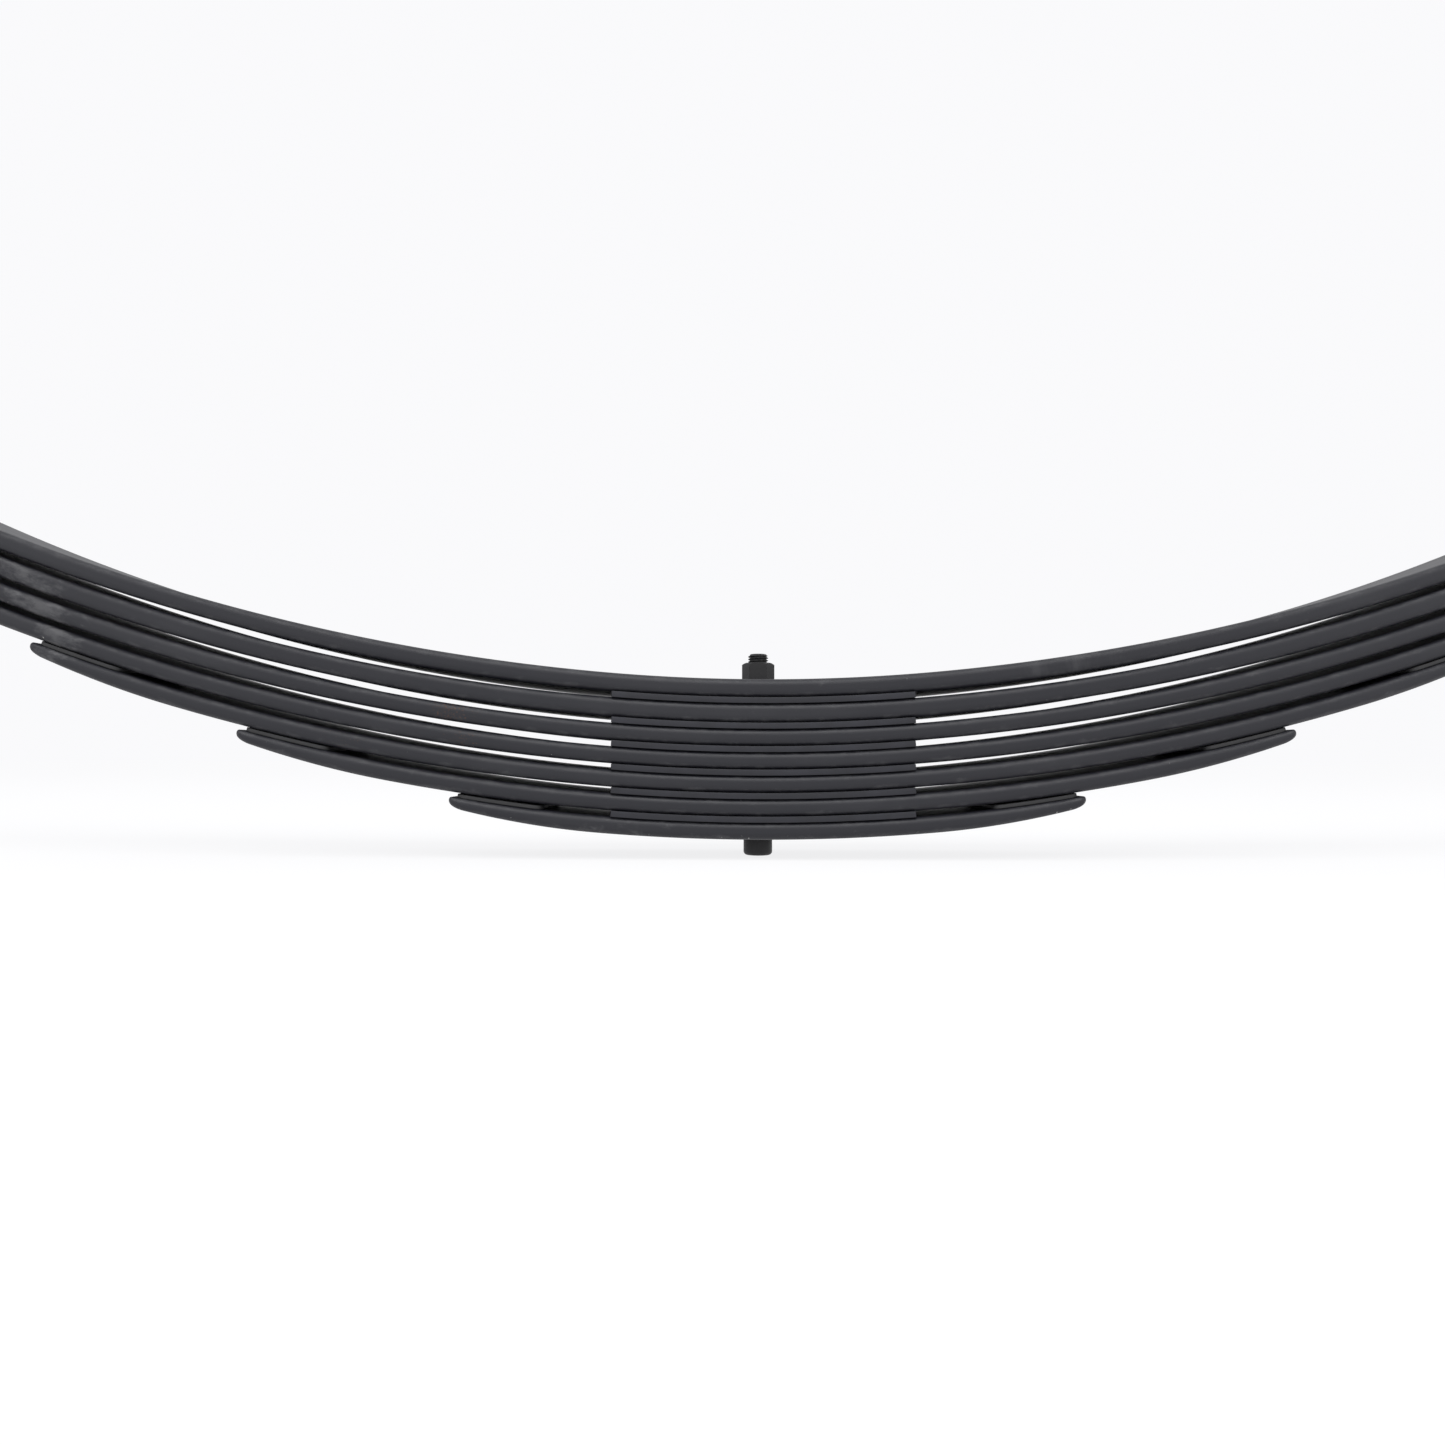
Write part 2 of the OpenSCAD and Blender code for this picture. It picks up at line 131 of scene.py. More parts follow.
class FastenerSizes(PropertyGroup):
    """Sizes of the centre bolt, its nut and the clips."""

    thread_radius: length("Thread radius", "Outer radius of the centre bolt's thread", 0.00494)
    pitch: length("Pitch", "Pitch of the threads", 0.00125)
    head_radius: length("Head radius", "Radius of the round head", 0.007)
    head_round: length("Head rounding", "Radius of the head's lower edge", 0.0018)
    head_height: length("Head height", "Height of the round head", -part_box("centre_bolt")[0].z)
    nut_flats: length("Nut", "Nut size across its flats", 0.014)
    nut_height: length("Nut height", "Height of the nut", box_size("centre_nut", 2))
    clip_run: length("Clip run", "Distance from the bolt to a clip along the third leaf", 0.468)
    strap_width: length("Strap width", "Width of the clip strap", 0.03)
    strap_thick: length("Strap", "Thickness of the clip strap", 0.005)
    strap_gap: length("Strap gap", "Gap between the strap and the leaf edges", 0.0008)
    clip_bolt_radius: length("Clip bolt radius", "Radius of the clip bolt's thread", 0.00494)
    clip_flats: length("Clip nut", "Clip nut size across its flats", 0.016)
    tube_radius: length("Tube radius", "Outer radius of the tube on the clip bolt", 0.008)
    tube_gap: length("Tube gap", "Gap between the main leaf and the tube", 0.0025)
    rivet_radius: length("Rivet radius", "Radius of the clip rivet", 0.0045)


class EyeSizes(PropertyGroup):
    """Sizes of the rolled eyes, their bushes and sleeves."""

    radius: length("Eye radius", "Inner radius of the rolled eyes", 0.018)
    roll: FloatProperty(name="Roll", description="Angle through which an eye is rolled",
                        default=np.radians(304), subtype="ANGLE")
    sleeve_radius: length("Sleeve radius", "Outer radius of the sleeves", 0.011)
    sleeve_bore: length("Sleeve bore", "Inner radius of the sleeves", 0.0072)
    sleeve_length: length("Sleeve length", "Length of the sleeves", box_size("sleeve_front", 1))
    flange_radius: length("Flange radius", "Radius of the bush flanges", 0.024)
    flange_thick: length("Flange", "Thickness of the bush flanges", 0.0044)
    play: length("Play", "Radial play of the bushes and sleeves", 0.00005)


class Looks(PropertyGroup):
    """Colours of the finishes."""

    paint: colour("Paint", "Satin paint of the leaves and clips", (0.0092, 0.0094, 0.0136))
    paint_worn: colour("Rubbed paint", "Paint where it is rubbed", (0.070, 0.070, 0.074))
    chip: colour("Chip", "Bare metal in a chip", (0.42, 0.42, 0.41))
    rust: colour("Rust", "Rust specks", (0.085, 0.040, 0.022))
    spacer: colour("Spacer", "Phosphated steel of the spacers", (0.0098, 0.0100, 0.0140))
    pad: colour("Pad", "Plastic of the tip pads", (0.012, 0.012, 0.013))
    bolt: colour("Bolt", "Blackened steel of the centre bolt", (0.0090, 0.0088, 0.0098))
    rubber: colour("Rubber", "Rubber of the bushes", (0.012, 0.012, 0.012))
    plating: colour("Plating", "Zinc plating of the sleeves", (0.56, 0.57, 0.58))
    floor: colour("Floor", "Pale floor", (0.94, 0.94, 0.95))


class PackSettings(PropertyGroup):
    """All sizes and colours of the spring pack."""

    leaves: PointerProperty(type=LeafSizes)
    fasteners: PointerProperty(type=FastenerSizes)
    eyes: PointerProperty(type=EyeSizes)
    looks: PointerProperty(type=Looks)


# ------------------------------------------------------------------------------------------ the leaves' lines


class Camber:
    """The leaves' lines: concentric arcs in the clamped centre, and on each side of it one arc that is
    tangent to the centre's and closes on the leaf above. The main leaf goes on round its eyes."""

    def __init__(self, settings):
        self.leaves, self.eyes = settings.leaves, settings.eyes
        sizes = self.leaves
        self.zone = sizes.centre_zone / sizes.centre_radius
        self.arc_centre = self.stack_height() + sizes.centre_radius
        self.depth = {1: 0.0}
        self.outer = {1: sizes.outer_radius}
        self.closing = sizes.spacer_thick - sizes.pad_thick - sizes.pad_play
        for k in LEAVES[1:]:
            step = self.thick(k - 1) + sizes.spacer_thick
            self.depth[k] = self.depth[k - 1] + step
            self.outer[k] = 1 / (1 / (self.outer[k - 1] + step) + 2 * self.closing / self.reach(k) ** 2)

    def thick(self, k):
        """Thickness of leaf k."""
        return {1: self.leaves.main_thick, 2: self.leaves.second_thick}.get(k, self.leaves.plain_thick)

    def stack_height(self):
        """Height of the main leaf's top over the seventh leaf's underside, at the bolt."""
        gaps = (len(LEAVES) - 1) * self.leaves.spacer_thick
        return sum(self.thick(k) for k in LEAVES) + gaps

    def run(self, k):
        """Half length of leaf k, without the offset."""
        plain = self.leaves.short_run + (len(LEAVES) - k) * self.leaves.step_run
        return {1: self.leaves.eye_run, 2: self.leaves.second_run}.get(k, plain)

    def reach(self, k):
        """Distance from the clamped centre's edge to the longer end of leaf k."""
        return self.run(k) + self.leaves.offset - self.leaves.centre_zone

    def gap(self, k, far):
        """Height of the gap over leaf k at a distance from the bolt: the spacer's thickness, less a closing
        that grows as the square of the way out."""
        way = (far - self.leaves.centre_zone) / self.reach(k)
        return self.leaves.spacer_thick - self.closing * way ** 2

    def end(self, k, side):
        """Distance from the bolt to the end of leaf k on one side, along its top face."""
        return self.run(k) + side * self.leaves.offset

    def line(self, k, s):
        """Centre (x, z), radius and angle from straight down of leaf k's top face at signed distances s.

        The angle grows by distance / radius: the centre arc's radius up to the clamped zone's edge, the outer
        arc's after it, and the eye's after the main leaf's end. Each arc's centre lies on the last one's end
        normal, so the line has no kink."""
        side, far = np.where(s < 0, REAR, FRONT), np.abs(s)
        inner, outer = self.leaves.centre_radius + self.depth[k], self.outer[k]
        edge, end = inner * self.zone, self.run(k) + side * self.leaves.offset
        outer_x = (inner - outer) * np.sin(self.zone)
        outer_z = self.arc_centre - (inner - outer) * np.cos(self.zone)
        last = self.zone + (end - edge) / outer
        eye = self.eyes.radius
        where = [far <= edge, (far <= end) | (k != 1)]
        angle = np.select(where, [far / inner, self.zone + (far - edge) / outer], last + (far - end) / eye)
        radius = np.select(where, [inner, outer], eye)
        x = np.select(where, [0.0, outer_x], outer_x + (outer - eye) * np.sin(last))
        z = np.select(where, [self.arc_centre, outer_z], outer_z - (outer - eye) * np.cos(last))
        return side, x, z, radius, angle

    def points(self, k, s, y, down):
        """Points at signed distances s along leaf k, y across it and a depth under its top face: the arc's
        centre plus (radius + depth) times (sin angle, -cos angle), mirrored for the rear side."""
        side, x, z, radius, angle = self.line(k, s)
        reach = radius + down
        return np.stack(np.broadcast_arrays(side * (x + reach * np.sin(angle)), y, z - reach * np.cos(angle)),
                        axis=-1)

    def spot(self, k, side, far, lift=0.0):
        """Matrix that puts +X along leaf k away from the bolt, +Y across it and +Z towards the arc's centre,
        at a distance from the bolt and a lift over the top face. The rear side's is mirrored."""
        origin = self.points(k, np.array(side * far), 0.0, -lift)
        angle = float(self.line(k, np.array(side * far))[4])
        along = Vector((side * np.cos(angle), 0, np.sin(angle)))
        up = Vector((-side * np.sin(angle), 0, np.cos(angle)))
        place = Matrix((along, Vector((0, 1, 0)), up)).transposed().to_4x4()
        place.translation = Vector(origin)
        return place


# ------------------------------------------------------------------------------------------------- surfaces


def smooth(value):
    """Smooth step of a value from 0 to 1."""
    t = np.clip(value, 0, 1)
    return t * t * (3 - 2 * t)


def bow(across):
    """Height of a quarter circle's rounding: 0 where across is 0, 1 where it is 1, upright at 1."""
    return 1 - np.sqrt(np.clip(1 - np.clip(across, 0, 1) ** 2, 0, 1))


def bar_ring(corner_steps=6, side_steps=3, flat_steps=7):
    """A rounded rectangle as four arrays, one value for each point round it: which way the point's corner
    lies across (from -1 to 1) and down, then the part of the corner radius that is added across and down."""
    quarter = np.linspace(0, np.pi / 2, corner_steps + 1)
    sweep, hold = [], []
    for turn, (across, down) in enumerate(((1, 1), (-1, 1), (-1, -1), (1, -1))):
        sweep.append(quarter + turn * np.pi / 2)
        hold.append(np.tile((across, down), (quarter.size, 1)))
        steps = flat_steps if turn % 2 == 0 else side_steps
        blend = np.linspace(0, 1, steps + 1)[1:-1, None]
        following = ((-1, 1), (-1, -1), (1, -1), (1, 1))[turn]
        sweep.append(np.full(blend.size, (turn + 1) * np.pi / 2))
        hold.append((1 - blend) * np.array((across, down)) + blend * np.array(following))
    sweep, hold = np.concatenate(sweep), np.concatenate(hold)
    return hold[:, 0], hold[:, 1], np.cos(sweep), np.sin(sweep)


def bar_grid(half_width, upper, lower, corner, ring):
    """Across and depth of a bar's skin, one row for each station: the ring's corners stand in from the
    section's half width and half height by the corner radius, which never passes 0.45 of the height."""
    hold_y, hold_z, add_y, add_z = ring
    height = (lower - upper) / 2
    radius = np.minimum(corner, 0.9 * height)[:, None]
    across = hold_y * (half_width[:, None] - radius) + add_y * radius
    down = ((upper + lower) / 2)[:, None] + hold_z * (height[:, None] - radius) + add_z * radius
    return across, down


def outward(vertices, faces):
    """Turns every face round if they enclose a negative volume: a third of the sum of each triangle's corner
    times its area vector, with each face cut into a fan of triangles."""
    volume = 0.0
    for face in (faces["quads"], *faces["caps"]):
        face = np.atleast_2d(face)
        for i in range(1, face.shape[1] - 1):
            a, b, c = vertices[face[:, 0]], vertices[face[:, i]], vertices[face[:, i + 1]]
            volume += np.einsum("ij,ij->", a, np.cross(b, c))
    if volume < 0:
        faces["quads"] = faces["quads"][:, ::-1]
        faces["caps"] = [cap[::-1] for cap in faces["caps"]]
    return faces


def grid_faces(rows, columns, joined, first):
    """Faces of a grid whose columns run round the piece: a quad for each cell, and at both ends one flat cap,
    or quads from the last row to the first if it is joined."""
    index = first + np.arange(rows * columns).reshape(rows, columns)
    here, there = (index, np.roll(index, -1, axis=0)) if joined else (index[:-1], index[1:])
    quads = np.stack([here, np.roll(here, -1, axis=1), np.roll(there, -1, axis=1), there], axis=-1)
    caps = [] if joined else [index[0][::-1], index[-1]]
    return {"quads": quads.reshape(-1, 4), "caps": caps}


def skin(name, shells, values=None):
    """A mesh object from one or more closed shells, each a grid of points (rows, columns, 3) and whether its
    last row joins its first. values holds attributes for every point: name to (rows x columns, 3) or (n,)."""
    vertices, quads, caps = [], [], []
    for grid, joined in shells:
        rows, columns = grid.shape[:2]
        first = sum(len(block) for block in vertices)
        block = grid.reshape(-1, 3)
        faces = grid_faces(rows, columns, joined, 0)
        faces = outward(block, faces)
        quads.append(faces["quads"] + first)
        caps += [cap + first for cap in faces["caps"]]
        vertices.append(block)
    vertices = np.concatenate(vertices)
    faces = np.concatenate(quads).tolist() + [cap.tolist() for cap in caps]
    mesh = bpy.data.meshes.new(name)
    mesh.from_pydata(vertices.tolist(), [], faces)
    mesh.polygons.foreach_set("use_smooth", np.ones(len(faces), bool))
    mesh.set_sharp_from_angle(angle=SHARP_ANGLE)
    store(mesh, "place", vertices)
    for key, value in (values or {}).items():
        store(mesh, key, value)
    mesh.validate()
    piece = bpy.data.objects.new(name, mesh)
    bpy.context.scene.collection.objects.link(piece)
    return piece


def store(mesh, name, value):
    """Keeps one number or one vector for each point of a mesh."""
    value = np.asarray(value, float)
    kind, field = ("FLOAT", "value") if value.ndim == 1 else ("FLOAT_VECTOR", "vector")
    attribute = mesh.attributes.get(name) or mesh.attributes.new(name, kind, "POINT")
    attribute.data.foreach_set(field, value.astype(np.float32).ravel())


def turned(radius, height, steps=96):
    """A turned surface: a profile of radii and heights carried round the Z axis. The profile's rows may
    hold one radius each, or one for every step round."""
    angle = np.arange(steps) * FULL_TURN / steps
    radius = np.atleast_2d(np.asarray(radius, float).T).T
    height = np.atleast_2d(np.asarray(height, float).T).T
    return np.stack(np.broadcast_arrays(radius * np.cos(angle), radius * np.sin(angle), height), axis=-1)


def put(grid, matrix):
    """A grid of points moved by a matrix."""
    turn, shift = np.array(matrix.to_3x3()), np.array(matrix.translation)
    return grid @ turn.T + shift


def rounded(start, corner, finish, radius, steps=6):
    """Points of a corner of a profile, rounded: the circle that touches both of its legs."""
    a, b, c = (np.array(p, float) for p in (start, corner, finish))
    before, after = (a - b) / np.linalg.norm(a - b), (c - b) / np.linalg.norm(c - b)
    half = np.arccos(np.clip(before @ after, -1, 1)) / 2
    middle = b + (before + after) / np.linalg.norm(before + after) * radius / np.sin(half)
    first, last = (b + leg * radius / np.tan(half) - middle for leg in (before, after))
    sweep = np.linspace(0, 1, steps + 1)[:, None]
    angle = np.arccos(np.clip(first @ last / radius ** 2, -1, 1))
    arc = (np.sin((1 - sweep) * angle) * first + np.sin(sweep * angle) * last) / np.sin(angle)
    return middle + arc


def profile(corners, radii):
    """Outline of a profile: each corner rounded by its radius, or sharp where the radius is 0."""
    points = []
    for i, (corner, radius) in enumerate(zip(corners, radii)):
        if radius:
            points.append(rounded(corners[i - 1], corner, corners[(i + 1) % len(corners)], radius))
        else:
            points.append(np.array([corner], float))
    outline = np.concatenate(points)
    return outline[:, 0], outline[:, 1]


# ------------------------------------------------------------------------------------------------- finishes


class Value:
    """A node's output that takes part in sums: each operator adds one Math node."""

    def __init__(self, finish, socket):
        self.finish, self.socket = finish, socket

    def math(self, operation, *values):
        return self.finish.node("ShaderNodeMath", {"operation": operation}, dict(enumerate(values)))

    def __add__(self, other):
        return self.math("ADD", self, other)

    def __sub__(self, other):
        return self.math("SUBTRACT", self, other)

    def __rsub__(self, other):
        return self.math("SUBTRACT", other, self)

    def __mul__(self, other):
        return self.math("MULTIPLY", self, other)

    def __pow__(self, other):
        return self.math("POWER", self, other)

    __radd__, __rmul__ = __add__, __mul__


class Finish:
    """A material and the nodes that make it."""

    def __init__(self, name):
        self.material = bpy.data.materials.new(name)
        self.material.use_nodes = True
        self.tree = self.material.node_tree
        self.tree.nodes.clear()

    def node(self, kind, settings=None, inputs=None, output=0):
        """Adds a node of a kind, makes its settings, then gives its sockets their values or links."""
        made = self.tree.nodes.new(kind)
        for name, value in (settings or {}).items():
            setattr(made, name, value)
        for key, value in (inputs or {}).items():
            if isinstance(value, Value):
                self.tree.links.new(value.socket, made.inputs[key])
            else:
                made.inputs[key].default_value = value
        return Value(self, made.outputs[output])

    def kept(self, name, output="Vector"):
        """An attribute of the piece."""
        return self.node("ShaderNodeAttribute", {"attribute_name": name}, output=output)

    def parts(self, vector):
        """The three numbers of a vector."""
        split = self.node("ShaderNodeSeparateXYZ", inputs={"Vector": vector}).socket.node
        return [Value(self, socket) for socket in split.outputs]

    def noise(self, scale, detail=3.0, roughness=0.55, stretch=(1, 1, 1)):
        """Noise over the piece, different on each one, drawn out along it by stretch."""
        place = self.node("ShaderNodeMapping", inputs={"Vector": self.kept("place"), "Scale": stretch})
        return self.node("ShaderNodeTexNoise", {"noise_dimensions": "4D"}, {
            "Vector": place, "W": self.kept("seed", "Fac"), "Scale": scale, "Detail": detail,
            "Roughness": roughness})

    def rise(self, value, low, high):
        """Smooth step of a value from 0 at low to 1 at high."""
        return self.node("ShaderNodeMapRange", {"interpolation_type": "SMOOTHSTEP"}, {
            "Value": value, "From Min": low, "From Max": high})

    def blend(self, factor, first, second):
        """A colour between two, each a colour or a link."""
        first, second = (c if isinstance(c, Value) else (*c, 1.0) for c in (first, second))
        return self.node("ShaderNodeMix", {"data_type": "RGBA"}, {0: factor, 6: first, 7: second}, output=2)

    def bump(self, height, distance, strength=1.0):
        """Normal of a bumpy surface, from heights of 0 to 1 over a distance in metres."""
        return self.node("ShaderNodeBump", inputs={"Height": height, "Distance": distance,
                                                   "Strength": strength})

    def close(self, **sockets):
        """Ends the material in one Principled shader with these sockets, and gives the material."""
        inputs = {name.replace("_", " "): value for name, value in sockets.items()}
        shader = self.node("ShaderNodeBsdfPrincipled", inputs=inputs, output="BSDF")
        self.node_output(shader)
        return self.material

    def node_output(self, shader):
        """Links a shader to the material's output."""
        made = self.tree.nodes.new("ShaderNodeOutputMaterial")
        self.tree.links.new(shader.socket, made.inputs["Surface"])


def paint(name, looks):
    """Satin black paint on rolled steel: clouded colour, fine orange peel, rubbed edges, chips at the tips,
    rust specks and grey scuffs where the piece's marks say."""
    f = Finish(name)
    edge, tip, low_edge = f.parts(f.kept("wear"))
    scuff, rust, streak = f.parts(f.kept("marks"))
    cloud = f.noise(28, 4, 0.6, (0.45, 1, 1))
    drift = f.noise(150, 4, 0.6, (0.16, 1, 1))
    grit = f.noise(950, 3, 0.6)
    speck = f.noise(1500, 2, 0.6)
    fleck = f.noise(620, 3, 0.6)
    smear = f.noise(260, 5, 0.65, (0.5, 1, 1))
    bands = f.noise(210, 3, 0.6, (1, 0.25, 0.25))

    rub = f.rise(smear + edge * 0.16 + tip * 0.05, 0.60, 0.80) * edge
    handled = f.rise(smear + scuff * 0.34, 0.62, 0.92)
    brushed = f.rise(bands + streak * 0.30, 0.60, 0.95) * streak
    dusty = f.rise(cloud, 0.46, 0.78)
    worn = f.node("ShaderNodeMath", {"operation": "MINIMUM"},
                  {0: rub * 0.30 + handled * 0.75 + brushed * 0.34 + dusty * 0.10, 1: 1.0})
    chipped = f.rise(fleck + edge * low_edge * 0.055 + edge * tip * 0.10 + scuff * 0.05, 0.735, 0.77)
    rusted = f.rise(speck + rust * 0.17, 0.72, 0.80)

    tone = f.blend(worn, looks.paint, looks.paint_worn)
    tone = f.blend(rusted * 0.85, tone, looks.rust)
    tone = f.blend(chipped * (edge * 0.9 + 0.1), tone, looks.chip)
    rough = 0.36 + drift * 0.16 + cloud * 0.10 + worn * 0.12 + rusted * 0.2
    height = grit * 0.5 + drift * 0.35 - chipped * 1.5 + rusted * 0.5 + f.noise(90, 3, 0.5) * 1.2
    return f.close(Base_Color=tone, Roughness=rough, Normal=f.bump(height, 0.00006),
                   Specular_IOR_Level=0.4)


def shade(base, gain):
    """A colour made lighter or darker."""
    return tuple(c * gain for c in base)


def phosphated(name, base):
    """Phosphated steel strip: fine drawn lines along it and a cloudy grey bloom."""
    f = Finish(name)
    drawn = f.noise(900, 3, 0.6, (0.05, 1, 1))
    bloom = f.noise(55, 4, 0.6)
    tone = f.blend(f.rise(bloom + drawn * 0.25, 0.45, 0.85), base, shade(base, 1.7))
    return f.close(Base_Color=tone, Roughness=0.42 + bloom * 0.22, Normal=f.bump(drawn, 0.00003),
                   Specular_IOR_Level=0.4)


def plastic(name, base):
    """Moulded black plastic with a fine spark-eroded grain."""
    f = Finish(name)
    grain = f.noise(1800, 2, 0.5)
    tide = f.noise(70, 3, 0.5)
    tone = f.blend(f.rise(tide, 0.4, 0.8), base, shade(base, 1.6))
    return f.close(Base_Color=tone, Roughness=0.52 + tide * 0.16, Normal=f.bump(grain, 0.00004))


def blackened(name, base):
    """Blackened steel: near black, oily patches, and bright rubs on the crests."""
    f = Finish(name)
    oil = f.noise(130, 4, 0.6)
    grain = f.noise(1200, 3, 0.6)
    rubbed = f.rise(f.noise(700, 4, 0.65), 0.62, 0.78)
    tone = f.blend(rubbed * 0.35, base, (0.10, 0.10, 0.10))
    return f.close(Base_Color=tone, Roughness=0.38 + oil * 0.3, Metallic=0.25,
                   Normal=f.bump(grain + oil * 0.6, 0.00005))


def rubber(name, base):
    """Moulded rubber with a dull bloom."""
    f = Finish(name)
    bloom = f.noise(90, 4, 0.6)
    pores = f.noise(1600, 3, 0.6)
    tone = f.blend(f.rise(bloom, 0.45, 0.8), base, shade(base, 2.4))
    return f.close(Base_Color=tone, Roughness=0.66 + bloom * 0.16, Normal=f.bump(pores, 0.00006))


def plated(name, base):
    """Zinc-plated steel tube: turned lines round it and a cloudy sheen."""
    f = Finish(name)
    lines = f.noise(1400, 2, 0.5, (0.3, 1, 0.3))
    cloud = f.noise(110, 4, 0.6)
    tone = f.blend(cloud, base, shade(base, 0.72))
    return f.close(Base_Color=tone, Roughness=0.26 + cloud * 0.22, Metallic=0.95,
                   Normal=f.bump(lines, 0.00002))


def pale_floor(name, base):
    """A pale floor that glows a little, so that its shadows stay soft."""
    f = Finish(name)
    cloud = f.noise(6, 3, 0.5)
    tone = f.blend(cloud * 0.5, base, shade(base, 0.985))
    matt = f.node("ShaderNodeBsdfDiffuse", inputs={"Color": tone})
    glow = f.node("ShaderNodeEmission", inputs={"Color": (*base, 1.0), "Strength": 1.03})
    f.node_output(f.node("ShaderNodeMixShader", inputs={0: 0.86, 1: matt, 2: glow}))
    return f.material


FINISHES = {
    "leaf_paint": lambda name, looks: paint(name, looks),
    "clip_paint": lambda name, looks: paint(name, looks),
    "spacer_steel": lambda name, looks: phosphated(name, looks.spacer),
    "pad_plastic": lambda name, looks: plastic(name, looks.pad),
    "bolt_steel": lambda name, looks: blackened(name, looks.bolt),
    "bush_rubber": lambda name, looks: rubber(name, looks.rubber),
    "sleeve_steel": lambda name, looks: plated(name, looks.plating),
}


def finish_piece(piece, slot, looks, seed):
    """Gives a piece its finish, its slot and its own seed for the patterns."""
    name = f"{slot}_finish"
    material = bpy.data.materials.get(name) or FINISHES[slot](name, looks)
    piece.data.materials.append(material)
    points = len(piece.data.vertices)
    store(piece.data, "seed", np.full(points, float(seed)))
    for kept in ("wear", "marks"):
        if kept not in piece.data.attributes:
            store(piece.data, kept, np.zeros((points, 3)))


# --------------------------------------------------------------------------------------------------- pieces


def bend_with_pack(piece):
    """Bakes a piece's transform into its mesh."""
    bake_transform(piece)


def leaf_node(k):
    """Name of leaf k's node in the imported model."""
    return "main_leaf" if k == 1 else f"leaf_{k}"


SCUFF, RUST, STREAK = range(3)
# Marks on the leaves' near edges: leaf, kind, place along it, reach along it and strength
MARKS = [
    (2, SCUFF, -0.345, 0.020, 0.9), (3, SCUFF, -0.338, 0.020, 1.0), (4, SCUFF, -0.330, 0.014, 0.9),
    (5, SCUFF, -0.335, 0.009, 0.8), (3, RUST, -0.143, 0.012, 1.0), (4, RUST, -0.136, 0.009, 0.8),
    (5, RUST, -0.190, 0.012, 0.6), (3, RUST, 0.205, 0.008, 0.5), (1, STREAK, 0.126, 0.008, 0.8),
    (1, STREAK, 0.146, 0.006, 1.0), (1, STREAK, 0.164, 0.005, 0.7), (7, SCUFF, -0.060, 0.030, 0.35),
]


def leaf_marks(k, s, near):
    """Scuff, rust and streak over leaf k: for each mark a bell curve along the leaf, on the near edge."""
    marks = np.zeros((*s.shape, 3))
    for leaf, kind, place, reach, strength in MARKS:
        if leaf == k:
            marks[..., kind] += strength * np.exp(-((s - place) / reach) ** 2) * near
    return marks


STATION = 0.004  # greatest distance between a plain leaf's sections
CLEAR = 0.00002  # keeps two faces that would coincide apart
ROLL_ROUND, ROLL_NARROWING = 0.0012, 0.0006  # length and depth of the rounding at the end of an eye's roll
TIP_FADE = 0.012  # distance over which wear at a tip fades
NEAR_EDGE, NEAR_FADE = 0.026, 0.003  # where marks on the near edge begin, and how soon they are full


def leaf_sections(camber, k, side):
    """Stations of one half of leaf k: distance from the bolt, half width, upper and lower depth.

    A plain leaf's underside rises as the square of the way into its thinned end. The end is rounded by two
    quarter ellipses, a long one under it and a short one on top, and from above by two quarter circles. The
    main leaf keeps its section and goes on round the eye."""
    sizes, end, thick = camber.leaves, camber.end(k, side), camber.thick(k)
    if k == 1:
        roll = camber.eyes.radius * camber.eyes.roll
        far = np.concatenate([np.linspace(0, end, 150)[:-1], end + np.linspace(0, roll, 72)])
        half_width = sizes.width / 2 - ROLL_NARROWING * bow((far - end - roll + ROLL_ROUND) / ROLL_ROUND)
        return far, half_width, np.zeros(far.size), np.full(far.size, thick)
    turn = np.linspace(0, np.pi / 2, 18)[1:-1]
    body = np.linspace(0, end - sizes.nose_run, int(end / STATION))
    nose = end - sizes.nose_run * (1 - np.sin(turn))
    far = np.concatenate([body, nose, [end - CLEAR]])
    taper = sizes.taper_depth * np.clip((far - end + sizes.taper_run) / sizes.taper_run, 0, 1) ** 2
    lower = thick - taper - sizes.nose_rise * bow((far - end + sizes.nose_run) / sizes.nose_run)
    upper = sizes.brow_drop * bow((far - end + sizes.brow_run) / sizes.brow_run)
    narrowing = sizes.plan_round * bow((far - end + sizes.plan_round) / sizes.plan_round)
    return far, sizes.width / 2 - narrowing, upper, lower


def leaf_half(camber, k, side):
    """One half of leaf k: its sections' rounded rectangles carried along its line."""
    far, half_width, upper, lower = leaf_sections(camber, k, side)
    ring = bar_ring()
    across, down = bar_grid(half_width, upper, lower, camber.leaves.corner, ring)
    s = np.repeat(side * far[:, None], across.shape[1], axis=1)
    edge = np.broadcast_to(np.abs(2 * ring[2] * ring[3]), s.shape)
    tip = np.exp(-(far[-1] - far) / TIP_FADE)[:, None] * np.ones_like(s)
    low_edge = np.broadcast_to(np.clip(ring[1], 0, 1), s.shape) * float(k == len(LEAVES))
    near = np.clip((-across - NEAR_EDGE) / NEAR_FADE, 0, 1)
    values = {
        "place": np.stack([s, across, down], axis=-1).reshape(-1, 3),
        "wear": np.stack([edge, tip, low_edge], axis=-1).reshape(-1, 3),
        "marks": leaf_marks(k, s, near).reshape(-1, 3),
    }
    name = f"{leaf_node(k)}_{SIDE_NAMES[side]}_half"
    return skin(name, [(camber.points(k, s, across, down), False)], values)


